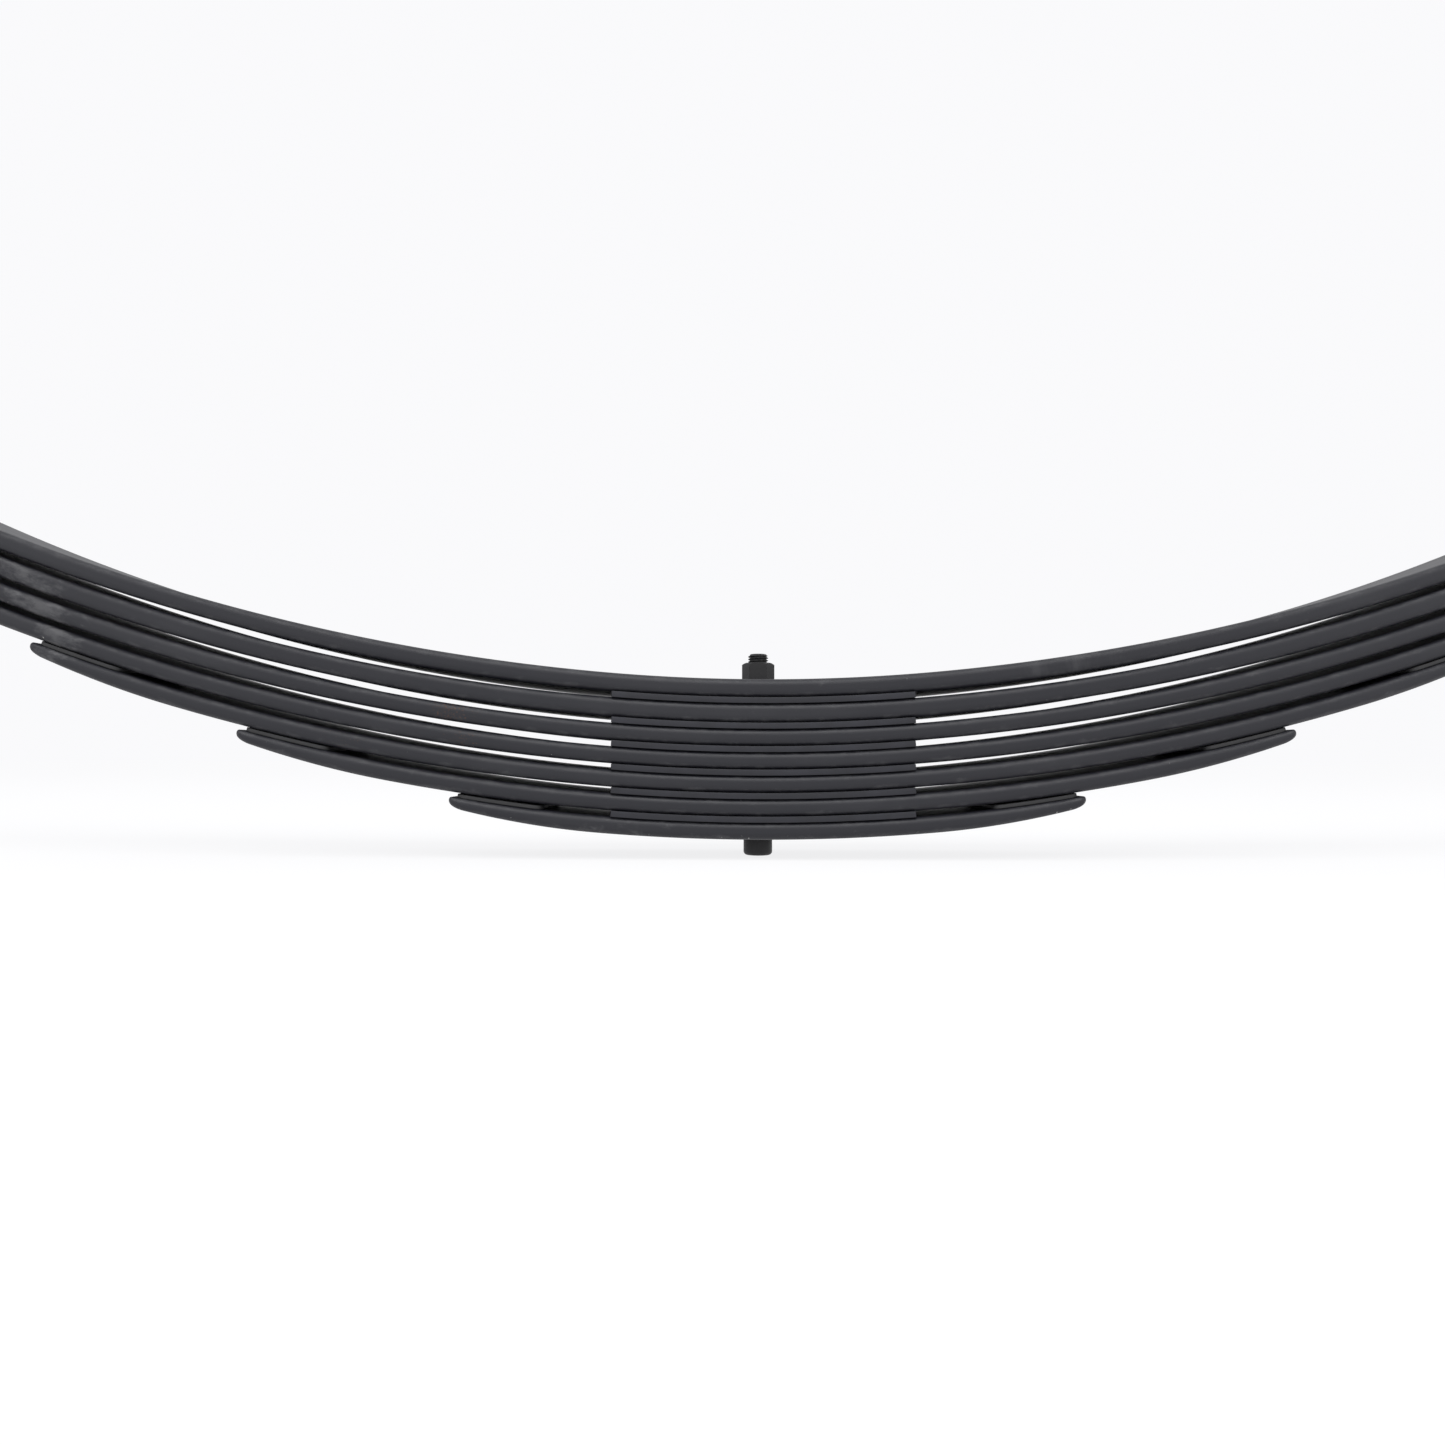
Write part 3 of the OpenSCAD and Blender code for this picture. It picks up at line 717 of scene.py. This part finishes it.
def strip_grid(camber, k, start, finish, half_width, upper, lower, edge, end_round, steps=24):
    """Grid of a strip on leaf k's line between two signed distances, with rounded edges and corners."""
    middle, reach = (start + finish) / 2, abs(finish - start) / 2
    turn = np.linspace(0, np.pi / 2, 7)[:-1]
    last = reach - end_round * (1 - np.sin(turn))
    half = np.concatenate([np.linspace(0, reach - end_round, steps // 2)[:-1], last, [reach]])
    way = np.concatenate([-half[::-1], half[1:]])
    inset = end_round * bow((np.abs(way) - reach + end_round) / end_round)
    squeeze = edge * bow((np.abs(way) - reach + edge) / edge) * 0.9
    ring = bar_ring(3, 2, 5)
    across, down = bar_grid(half_width - inset, np.full(way.size, upper) + squeeze,
                            np.full(way.size, lower) - squeeze, edge, ring)
    s = np.repeat((middle + way)[:, None], across.shape[1], axis=1)
    return camber.points(k, s, across, down), np.stack([s, across, down], axis=-1)


PAD_EDGE, PAD_CORNER = 0.0004, 0.004  # radii of a pad's edges, and of its corners from above


def pad_piece(camber, k, side):
    """A tip pad on leaf k with the low domed end of its button under the leaf."""
    sizes = camber.leaves
    end = camber.end(k, side)
    outer, inner = end - sizes.pad_setback, end - sizes.pad_setback - sizes.pad_length
    strip, place = strip_grid(camber, k, side * inner, side * outer, sizes.pad_width / 2, -sizes.pad_thick,
                              -CLEAR, PAD_EDGE, PAD_CORNER)
    middle = (outer + inner) / 2
    taper = sizes.taper_depth * (1 - (end - middle) / sizes.taper_run) ** 2
    under = camber.thick(k) - taper
    across = np.array([0.2, 0.6, 0.85, 0.96, 1.0, 1.0]) * sizes.button_radius
    height = -under - np.array([0.0005, 0.00045, 0.0003, 0.00012, 0.0, -0.001])
    button = put(turned(across, height, 40), camber.spot(k, side, middle))
    values = {"place": np.concatenate([place.reshape(-1, 3), button.reshape(-1, 3)])}
    return skin(f"pad_{k}_{SIDE_NAMES[side]}_piece", [(strip, False), (button, False)], values)


SPACER_CORNER = 0.0006  # radius of a spacer's corners from above


def spacer_piece(camber, k):
    """A spacer strip under leaf k, square cut, in the clamped centre. Its length is measured on its own arc,
    which is longer than the leaf's top arc by the ratio of their radii."""
    sizes = camber.leaves
    top, radius = camber.thick(k), sizes.centre_radius + camber.depth[k]
    ratio = radius / (radius + top)
    half, middle = sizes.spacer_length / 2 * ratio, sizes.spacer_offset * ratio
    grid, place = strip_grid(camber, k, middle - half, middle + half, sizes.width / 2, top,
                             top + sizes.spacer_thick, sizes.spacer_edge, SPACER_CORNER, 48)
    return skin(f"spacer_{k}_piece", [(grid, False)], {"place": place.reshape(-1, 3)})


HEX_CONE = 0.95  # where the cone on a hexagon's end starts, as a share of half its size across flats
HEX_SLOPE = np.tan(np.radians(30))
HEX_BREAK = 0.0001  # broken edge at the foot of a hexagon
HEX_DISH = 0.0003  # depth of the dish in a head's top
HEX_SINK = 0.0006  # depth of the countersink at a nut's mouths
NUT_TURN = np.radians(30 - 3.4)  # turns the nut's corners to X, and back by a few degrees


def hex_radius(angle, flats):
    """Radius of a hexagon's outline at an angle, with its corners turned off a little."""
    fold = np.mod(angle + np.pi / 6, np.pi / 3) - np.pi / 6
    return np.minimum(flats / 2 / np.cos(fold), flats / np.sqrt(3) * 0.985)


def hex_angles():
    """Angles round a hexagon, close together at its corners."""
    side = np.radians([-30, -28.45, -26, -20, -10, 0, 10, 20, 26, 28.45])
    return (np.arange(6)[:, None] * np.pi / 3 + side).ravel()


def hex_grid(flats, height, inner):
    """Skin of a hexagon nut or head from z = 0 to its height. Along each ray from the axis the flat side
    ends where it meets a cone of 30 degrees, so that each face gets its curved edge: the cone starts a little
    inside the flats and falls by its slope times the way out to the hexagon. inner is the bore's radius,
    whose mouths are countersunk, or 0 for a head with a dished top."""
    angle = hex_angles()
    outline = hex_radius(angle, flats)
    rim = np.full(angle.size, flats / 2 * HEX_CONE)
    fall = (outline - rim) * HEX_SLOPE
    ones = np.ones(angle.size)
    foot = [(outline - HEX_BREAK, 0 * ones), (outline, HEX_BREAK * ones)]
    rows = foot + [(outline, height - fall), (rim, height * ones)]
    if inner:
        mouth = inner + HEX_SINK
        rows += [(mouth * ones, height * ones), (inner * ones, (height - HEX_SINK) * ones),
                 (inner * ones, HEX_SINK * ones), (mouth * ones, 0 * ones)]
    else:
        dish = flats * np.array([0.42, 0.39, 0.12])
        rows += [(dish[0] * ones, height * ones), (dish[1] * ones, (height - HEX_DISH) * ones),
                 (dish[2] * ones, (height - HEX_DISH) * ones)]
    radius, z = (np.array(part) for part in zip(*rows))
    return np.stack([radius * np.cos(angle), radius * np.sin(angle), z], axis=-1)


def thread_rows(radius, pitch, start, finish, angle, per_turn=14):
    """Radii and heights of a thread: at each height and angle the radius falls by a trapezoid wave of
    (height - pitch x turn) / pitch, runs out over the first turn and is cut by a cone at the tip."""
    z = np.linspace(start, finish, int((finish - start) / pitch * per_turn))
    phase = np.mod(z[:, None] / pitch - angle / FULL_TURN, 1.0)
    wave = np.clip(2.4 * np.abs(2 * phase - 1) - 0.55, 0, 1)
    depth = 0.61 * pitch * smooth((z[:, None] - start) / pitch)
    cone = radius - 0.0011 + (finish - z[:, None]) * 1.1
    return np.minimum(radius - depth * wave, cone), np.repeat(z[:, None], angle.size, axis=1)


def centre_bolt_grid(sizes, top, nut_top):
    """Skin of the centre bolt from its round head up to its threaded end."""
    steps = 72
    angle = np.arange(steps) * FULL_TURN / steps
    head, low = sizes.head_radius, -sizes.head_height
    arc = rounded((0, low), (head, low), (head, 0), sizes.head_round, 8)
    rows = [(0.0015, low), (head * 0.4, low), *arc.tolist(), (head, -0.0009), (head - 0.0002, -0.0002),
            (head - 0.0004, 0.0), (sizes.thread_radius, 0.0), (sizes.thread_radius, nut_top - 0.004)]
    radius, z = (np.repeat(np.array(part)[:, None], steps, axis=1) for part in zip(*rows))
    thread_r, thread_z = thread_rows(sizes.thread_radius, sizes.pitch, nut_top - 0.003, top - 0.0001, angle)
    dome_r = np.array([0.62, 0.3]) * sizes.thread_radius
    dome_z = np.array([top - 0.00003, top])
    radius = np.concatenate([radius, thread_r, np.repeat(dome_r[:, None], steps, axis=1)])
    z = np.concatenate([z, thread_z, np.repeat(dome_z[:, None], steps, axis=1)])
    return np.stack([radius * np.cos(angle), radius * np.sin(angle), z], axis=-1)


def tube_grid(inner, outer, length, chamfer, steps=96):
    """Skin of a tube along Z, its middle at the origin, with chamfered mouths."""
    half = length / 2
    corners = [(inner, -half), (outer, -half), (outer, half), (inner, half)]
    r, z = profile(corners, [chamfer] * 4)
    return turned(r, z, steps)


ACROSS = Matrix.Rotation(-np.pi / 2, 4, "X")  # turns +Z to +Y


def bush_piece(camber, side, y_side):
    """One half of an eye bush: a plain barrel and a rounded flange with a raised lip round the sleeve."""
    eyes, half = camber.eyes, camber.leaves.width / 2
    bore, barrel = eyes.sleeve_radius + eyes.play, eyes.radius - eyes.play
    start, face = 0.00025, half + 0.0002
    front = face + eyes.flange_thick
    groove = eyes.flange_radius * 0.78
    corners = [(bore, start), (barrel, start), (barrel, face), (eyes.flange_radius, face),
               (eyes.flange_radius, front - 0.0007), (groove, front - 0.0007), (groove - 0.0011, front),
               (bore, front)]
    radii = [0.0004, 0.0006, 0.0003, 0.0012, 0.0013, 0.0006, 0.0005, 0.0006]
    r, z = profile(corners, radii)
    place = camber.spot(1, side, camber.end(1, side), eyes.radius)
    grid = put(turned(r, z), place @ Matrix.Rotation(-y_side * np.pi / 2, 4, "X"))
    return skin(f"bush_{SIDE_NAMES[side]}_{'near' if y_side < 0 else 'far'}_piece", [(grid, True)])


def sleeve_piece(camber, side):
    """The steel sleeve in an eye's bushes."""
    eyes = camber.eyes
    grid = tube_grid(eyes.sleeve_bore, eyes.sleeve_radius, eyes.sleeve_length, 0.0007)
    place = camber.spot(1, side, camber.end(1, side), eyes.radius)
    return skin(f"sleeve_{SIDE_NAMES[side]}_piece", [(put(grid, place @ ACROSS), True)])


STRAP_PLAY = 0.00015  # keeps the strap off the leaf's underside
STRAP_BEND, STRAP_EDGE = 0.0022, 0.0011  # inner radius of the strap's bends, and radius of its edges
CLIP_HEAD, CLIP_NUT = 0.0064, 0.008  # heights of the clip bolt's head and nut


class Clip:
    """Heights and reaches of a rebound clip in the third leaf's own frame at the clip."""

    def __init__(self, camber, sizes):
        leaves = camber.leaves
        gaps = sum(camber.gap(k, sizes.clip_run) for k in LEAVES[1:CLIP_LEAF])
        above = camber.thick(1) + camber.thick(2) + gaps
        self.base = -camber.thick(CLIP_LEAF) - STRAP_PLAY
        self.bolt = above + sizes.tube_gap + sizes.tube_radius
        self.inner = leaves.width / 2 + sizes.strap_gap
        self.outer = self.inner + sizes.strap_thick


def strap_grid(clip, sizes):
    """Skin of the strap: a flat bar carried round a U path, up one side, across under the leaf and up the
    other, with quarter circles at its two bends. Its ends are round: the half width is that of a circle."""
    thick, half = sizes.strap_thick, sizes.strap_width / 2
    bend = STRAP_BEND + thick / 2
    side_y, low = clip.inner + thick / 2, clip.base - thick / 2
    corner = side_y - bend
    rise = clip.bolt - (low + bend)
    turn = np.linspace(0, np.pi / 2, 11)
    ease = half * np.sin(np.linspace(0, np.pi / 2, 16))[:-1]
    tall = np.concatenate([np.linspace(0, rise, 14)[1:], rise + ease[1:], [rise + half * 0.997]])
    y = np.concatenate([np.linspace(0, corner, 8)[:-1], corner + bend * np.sin(turn),
                        np.full(tall.size, side_y)])
    z = np.concatenate([np.full(7, low), low + bend * (1 - np.cos(turn)), low + bend + tall])
    out_y = np.concatenate([np.zeros(7), np.sin(turn), np.ones(tall.size)])
    out_z = np.concatenate([-np.ones(7), -np.cos(turn), np.zeros(tall.size)])
    width = half * np.sqrt(np.clip(1 - (np.clip(z - clip.bolt, 0, half) / half) ** 2, 0.0055, 1))
    y, out_y = np.concatenate([-y[:0:-1], y]), np.concatenate([-out_y[:0:-1], out_y])
    z, out_z, width = (np.concatenate([part[:0:-1], part]) for part in (z, out_z, width))
    ring = bar_ring(4, 2, 4)
    face = np.full(width.size, thick / 2)
    across, off = bar_grid(width, -face, face, STRAP_EDGE, ring)
    return np.stack([across, y[:, None] + off * out_y[:, None], z[:, None] + off * out_z[:, None]], axis=-1)


def clip_bolt_grid(clip, sizes):
    """Skin of the clip bolt along Z: a shank with a thread at its far end."""
    steps = 60
    angle = np.arange(steps) * FULL_TURN / steps
    radius = sizes.clip_bolt_radius
    tip = clip.outer + 0.011
    plain = np.repeat(np.array([[radius], [radius]]), steps, axis=1)
    plain_z = np.repeat(np.array([[-clip.outer], [clip.outer + 0.004]]), steps, axis=1)
    thread_r, thread_z = thread_rows(radius, sizes.pitch, clip.outer + 0.0045, tip, angle)
    rows = np.concatenate([plain, thread_r])
    z = np.concatenate([plain_z, thread_z])
    return np.stack([rows * np.cos(angle), rows * np.sin(angle), z], axis=-1)


def clip_pieces(camber, sizes, side):
    """The pieces of one rebound clip, each with the node that it stands for."""
    clip, name = Clip(camber, sizes), SIDE_NAMES[side]
    seat = camber.spot(CLIP_LEAF, side, sizes.clip_run)
    axle = seat @ Matrix.Translation((0, 0, clip.bolt)) @ ACROSS
    strap = skin(f"clip_strap_{name}_piece", [(put(strap_grid(clip, sizes), seat), False)])
    rod = put(clip_bolt_grid(clip, sizes), axle)
    near = axle @ Matrix.Translation((0, 0, -clip.outer)) @ Matrix.Rotation(np.pi, 4, "X")
    head = put(hex_grid(sizes.clip_flats, CLIP_HEAD, 0.0), near)
    bolt = skin(f"clip_bolt_{name}_piece", [(rod, False), (head, False)])
    pipe = tube_grid(sizes.clip_bolt_radius + 0.0003, sizes.tube_radius, 2 * clip.inner - 0.0004, 0.0005, 64)
    tube = skin(f"clip_tube_{name}_piece", [(put(pipe, axle), True)])
    far = axle @ Matrix.Translation((0, 0, clip.outer))
    ring = hex_grid(sizes.clip_flats, CLIP_NUT, sizes.clip_bolt_radius + 0.00008)
    nut = skin(f"clip_nut_{name}_piece", [(put(ring, far), True)])
    below = clip.base - sizes.strap_thick
    arc = np.linspace(0.06, np.pi / 2, 9)
    dome_r, dome_z = 0.0078 * np.sin(arc), below - 0.0034 * np.cos(arc)
    r = np.concatenate([dome_r, [0.0076, sizes.rivet_radius, sizes.rivet_radius, 0.0075, 0.0074, 0.002]])
    z = np.concatenate([dome_z, [below + 0.0001, below + 0.0001, 0.00005, 0.00005, 0.0010, 0.00125]])
    rivet = skin(f"clip_rivet_{name}_piece", [(put(turned(r, z, 48), seat), False)])
    return [strap, bolt, tube, nut, rivet]


# ------------------------------------------------------------------------------------------------ operators


def settings_of(context):
    """The scene's settings and the leaves' lines that follow from them."""
    settings = context.scene.leaf_spring
    return settings, Camber(settings)


class LEAFSPRING_OT_leaves(Operator):
    """Build the seven leaves, each as two halves that meet at the bolt"""

    bl_idname = "leaf_spring.leaves"
    bl_label = "Leaves"

    def execute(self, context):
        settings, camber = settings_of(context)
        for k in LEAVES:
            for side in SIDE_NAMES:
                piece = leaf_half(camber, k, side)
                finish_piece(piece, "leaf_paint", settings.looks, k)
                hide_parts(leaf_node(k))
                bend_with_pack(piece)
        return {"FINISHED"}


class LEAFSPRING_OT_spacers(Operator):
    """Build the six spacer strips"""

    bl_idname = "leaf_spring.spacers"
    bl_label = "Spacers"

    def execute(self, context):
        settings, camber = settings_of(context)
        for k in LEAVES[:-1]:
            piece = spacer_piece(camber, k)
            finish_piece(piece, "spacer_steel", settings.looks, 20 + k)
            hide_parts(f"spacer_{k}")
            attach(piece, "pack")
        return {"FINISHED"}


class LEAFSPRING_OT_pads(Operator):
    """Build the twelve tip pads"""

    bl_idname = "leaf_spring.pads"
    bl_label = "Tip pads"

    def execute(self, context):
        settings, camber = settings_of(context)
        for k in LEAVES[1:]:
            for side in SIDE_NAMES:
                piece = pad_piece(camber, k, side)
                finish_piece(piece, "pad_plastic", settings.looks, 30 + 2 * k + side)
                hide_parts(f"pad_{k}_{SIDE_NAMES[side]}")
                bend_with_pack(piece)
        return {"FINISHED"}


class LEAFSPRING_OT_centre_bolt(Operator):
    """Build the centre bolt and its nut"""

    bl_idname = "leaf_spring.centre_bolt"
    bl_label = "Centre bolt"

    def execute(self, context):
        settings, _ = settings_of(context)
        sizes = settings.fasteners
        nut_low, nut_high = (corner.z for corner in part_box("centre_nut"))
        bolt_grid = centre_bolt_grid(sizes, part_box("centre_bolt")[1].z, nut_high)
        bolt = skin("centre_bolt_piece", [(bolt_grid, False)])
        turn = Matrix.Translation((0, 0, nut_low)) @ Matrix.Rotation(NUT_TURN, 4, "Z")
        nut_grid = hex_grid(sizes.nut_flats, sizes.nut_height, sizes.thread_radius + 0.00006)
        nut = skin("centre_nut_piece", [(put(nut_grid, turn), True)])
        for number, (piece, node) in enumerate(((bolt, "centre_bolt"), (nut, "centre_nut"))):
            finish_piece(piece, "bolt_steel", settings.looks, 50 + number)
            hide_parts(node)
            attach(piece, "pack")
        return {"FINISHED"}


class LEAFSPRING_OT_bushes(Operator):
    """Build the bush halves and the sleeves in the eyes"""

    bl_idname = "leaf_spring.bushes"
    bl_label = "Bushes and sleeves"

    def execute(self, context):
        settings, camber = settings_of(context)
        for side, name in SIDE_NAMES.items():
            for y_side, place in ((-1, "near"), (1, "far")):
                piece = bush_piece(camber, side, y_side)
                finish_piece(piece, "bush_rubber", settings.looks, 60 + 2 * side + y_side)
                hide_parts(f"bush_{name}_{place}")
                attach(piece, f"{name}_bush")
            sleeve = sleeve_piece(camber, side)
            finish_piece(sleeve, "sleeve_steel", settings.looks, 70 + side)
            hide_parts(f"sleeve_{name}")
            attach(sleeve, f"{name}_sleeve")
        return {"FINISHED"}


class LEAFSPRING_OT_clips(Operator):
    """Build the two rebound clips"""

    bl_idname = "leaf_spring.clips"
    bl_label = "Rebound clips"

    def execute(self, context):
        settings, camber = settings_of(context)
        for side in SIDE_NAMES:
            for number, piece in enumerate(clip_pieces(camber, settings.fasteners, side)):
                finish_piece(piece, "clip_paint", settings.looks, 80 + 10 * side + number)
                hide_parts(piece.name.removesuffix("_piece"))
                bend_with_pack(piece)
        return {"FINISHED"}


class LEAFSPRING_OT_stage(Operator):
    """Set the floor, the lights and the camera"""

    bl_idname = "leaf_spring.stage"
    bl_label = "Stage"

    FLOOR_HALF, FLOOR_THICK = 9.0, 0.02
    EYE = (-0.0202, -0.470, 0.0377)
    PITCH, TURN, ROLL = 2.12, -0.33, 0.2
    LENS = 23.84

    def execute(self, context):
        looks = context.scene.leaf_spring.looks
        self.build_floor(looks)
        self.build_lights(context)
        self.build_camera(context)
        context.scene.view_settings.view_transform = "Standard"
        return {"FINISHED"}

    def build_floor(self, looks):
        """A flat plate whose top the bolt head stands on."""
        top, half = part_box("centre_bolt")[0].z, self.FLOOR_HALF
        ring = np.array([(-half, -half), (half, -half), (half, half), (-half, half)])
        rows = [np.column_stack([ring, np.full(4, z)]) for z in (top - self.FLOOR_THICK, top)]
        floor = skin("floor", [(np.array(rows), False)])
        store(floor.data, "seed", np.zeros(len(floor.data.vertices)))
        floor.data.materials.append(pale_floor("floor", looks.floor))

    def build_lights(self, context):
        """An even white surround, with a soft light over the front and one on each side."""
        world = bpy.data.worlds.new("surround")
        world.use_nodes = True
        background = world.node_tree.nodes["Background"]
        background.inputs["Color"].default_value = (0.955, 0.955, 0.97, 1.0)
        background.inputs["Strength"].default_value = 1.0
        context.scene.world = world
        for name, place, size, power in (
            ("overhead", (0.0, -0.9, 1.3), 1.2, 16.0),
            ("left", (-1.8, -0.9, 0.9), 1.4, 5.0),
            ("right", (1.8, -0.9, 0.9), 1.4, 4.0),
        ):
            light = bpy.data.lights.new(name, "AREA")
            light.size, light.energy = size, power
            lamp = bpy.data.objects.new(name, light)
            lamp.location = place
            lamp.rotation_euler = (Vector((0, 0, 0.1)) - Vector(place)).to_track_quat("-Z", "Y").to_euler()
            context.scene.collection.objects.link(lamp)

    def build_camera(self, context):
        """A wide lens close to the pack, level with its middle leaves."""
        camera = bpy.data.cameras.new("camera")
        camera.lens, camera.sensor_width, camera.clip_start = self.LENS, 36.0, 0.01
        holder = bpy.data.objects.new("camera", camera)
        turn = (Matrix.Rotation(np.radians(self.TURN), 4, "Z")
                @ Matrix.Rotation(np.radians(90 + self.PITCH), 4, "X")
                @ Matrix.Rotation(np.radians(self.ROLL), 4, "Z"))
        holder.matrix_world = Matrix.Translation(self.EYE) @ turn
        context.scene.collection.objects.link(holder)
        context.scene.camera = holder


class LEAFSPRING_PT_panel(Panel):
    """Sizes, colours and build steps of the spring pack"""

    bl_label = "Leaf spring"
    bl_idname = "LEAFSPRING_PT_panel"
    bl_space_type = "VIEW_3D"
    bl_region_type = "UI"
    bl_category = "Leaf spring"

    def draw(self, context):
        settings = context.scene.leaf_spring
        for operator in OPERATORS:
            self.layout.operator(operator.bl_idname)
        for group in (settings.leaves, settings.fasteners, settings.eyes, settings.looks):
            column = self.layout.column(align=True)
            for name in group.__annotations__:
                column.prop(group, name)


GROUPS = (LeafSizes, FastenerSizes, EyeSizes, Looks, PackSettings)
OPERATORS = (
    LEAFSPRING_OT_leaves,
    LEAFSPRING_OT_spacers,
    LEAFSPRING_OT_pads,
    LEAFSPRING_OT_centre_bolt,
    LEAFSPRING_OT_bushes,
    LEAFSPRING_OT_clips,
    LEAFSPRING_OT_stage,
)


def register():
    """Registers the classes and the scene's settings."""
    for cls in (*GROUPS, *OPERATORS, LEAFSPRING_PT_panel):
        bpy.utils.register_class(cls)
    bpy.types.Scene.leaf_spring = PointerProperty(type=PackSettings)


def unregister():
    """Takes the settings and the classes away again."""
    del bpy.types.Scene.leaf_spring
    for cls in reversed((*GROUPS, *OPERATORS, LEAFSPRING_PT_panel)):
        bpy.utils.unregister_class(cls)


def main():
    """Builds everything in order."""
    register()
    bpy.ops.leaf_spring.leaves()
    bpy.ops.leaf_spring.spacers()
    bpy.ops.leaf_spring.pads()
    bpy.ops.leaf_spring.centre_bolt()
    bpy.ops.leaf_spring.bushes()
    bpy.ops.leaf_spring.clips()
    bpy.ops.leaf_spring.stage()


if __name__ == "__main__":
    main()
